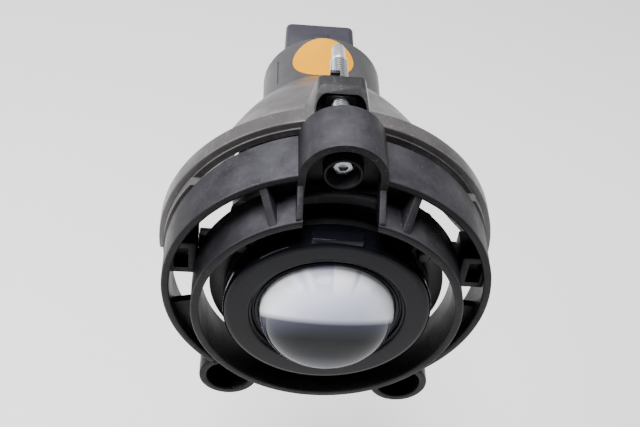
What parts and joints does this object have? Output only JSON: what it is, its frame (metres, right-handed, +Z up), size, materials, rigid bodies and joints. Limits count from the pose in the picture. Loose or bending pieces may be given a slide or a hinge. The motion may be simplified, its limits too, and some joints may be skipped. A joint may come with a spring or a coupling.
{
  "type": "fog light",
  "caption": "Round projector fog light: black bezel bracket with open rings, tilting grey lamp module with top aiming screw, twist-off rear cap with connector.",
  "frame": {"origin": "on the lamp's optical axis, in the plane of the rear seat faces of the two lower mounting ears", "axes": "-Y along the beam, out of the lens; +X to the right of someone facing the lamp; +Z up, towards the aiming screw"},
  "size_m": [0.1148, 0.151, 0.1247],
  "materials": {
    "bracket_black": "matte, fine moulded grain",
    "housing_grey": "satin, faintly mottled",
    "cap_grey": "satin",
    "connector_dark": "satin",
    "gloss_black": "high gloss",
    "carrier_black": "matte",
    "lens_glass": "polished",
    "bulb_glass": "polished",
    "seal_rubber": "matte",
    "reflector_mirror": "metallised",
    "zinc_steel": "bright zinc plate",
    "spring_steel": "satin",
    "shield_steel": "satin",
    "black_steel": "black phosphate",
    "terminal_brass": "tinned",
    "tungsten": "drawn wire",
    "bulb_base": "matte",
    "nut_nylon": "satin",
    "orange_label": "flat",
    "lead_insulation": "satin"
  },
  "bodies": {
    "bracket": {"bezel_bracket": "bracket_black"},
    "lamp_module": {"rear_housing": "housing_grey", "lens_carrier": "carrier_black", "lens": "lens_glass", "lens_seal": "seal_rubber", "lens_retaining_ring": "gloss_black", "housing_gasket": "seal_rubber", "cutoff_shield": "shield_steel", "reflector": "reflector_mirror", "bulb_glass": "bulb_glass", "bulb_base": "bulb_base", "bulb_seal": "seal_rubber", "bulb_filament": "tungsten", "bulb_clip": "spring_steel", "pivot_pin_left": "zinc_steel", "pivot_pin_right": "zinc_steel", "carrier_screw_1": "black_steel", "carrier_screw_2": "black_steel", "carrier_screw_3": "black_steel"},
    "adjuster_screw": {"adjuster_screw": "zinc_steel", "screw_retainer": "spring_steel"},
    "adjuster_nut": {"adjuster_nut": "nut_nylon"},
    "rear_cap": {"rear_cap": "cap_grey", "cap_seal": "seal_rubber", "connector_shroud": "connector_dark", "inspection_dot": "orange_label", "terminal_left": "terminal_brass", "terminal_right": "terminal_brass", "lead_left": "lead_insulation", "lead_right": "lead_insulation"}
  },
  "joints": [
    {"name": "module_tilt", "type": "hinge", "parent": "bracket", "child": "lamp_module", "pos_m": [0, -0.0018, 0.01], "axis": [1, 0, 0], "range_deg": [-2.5, 2.5]},
    {"name": "screw_spin", "type": "hinge", "parent": "bracket", "child": "adjuster_screw", "pos_m": [0, 0.0033, 0.0532], "axis": [0, 1, 0], "range_deg": [-700, 700]},
    {"name": "nut_slide", "type": "slide", "parent": "bracket", "child": "adjuster_nut", "axis": [0, 1, 0], "range_m": [-0.0019, 0.0019]},
    {"name": "cap_twist", "type": "hinge", "parent": "lamp_module", "child": "rear_cap", "pos_m": [0, 0.0724, 0], "axis": [0, 1, 0], "range_deg": [-30, 0]}
  ],
  "couplings": [
    {"joint": "screw_spin", "follows": "module_tilt", "ratio": 271.43},
    {"joint": "nut_slide", "follows": "module_tilt", "m_per_rad": -0.0432}
  ]
}
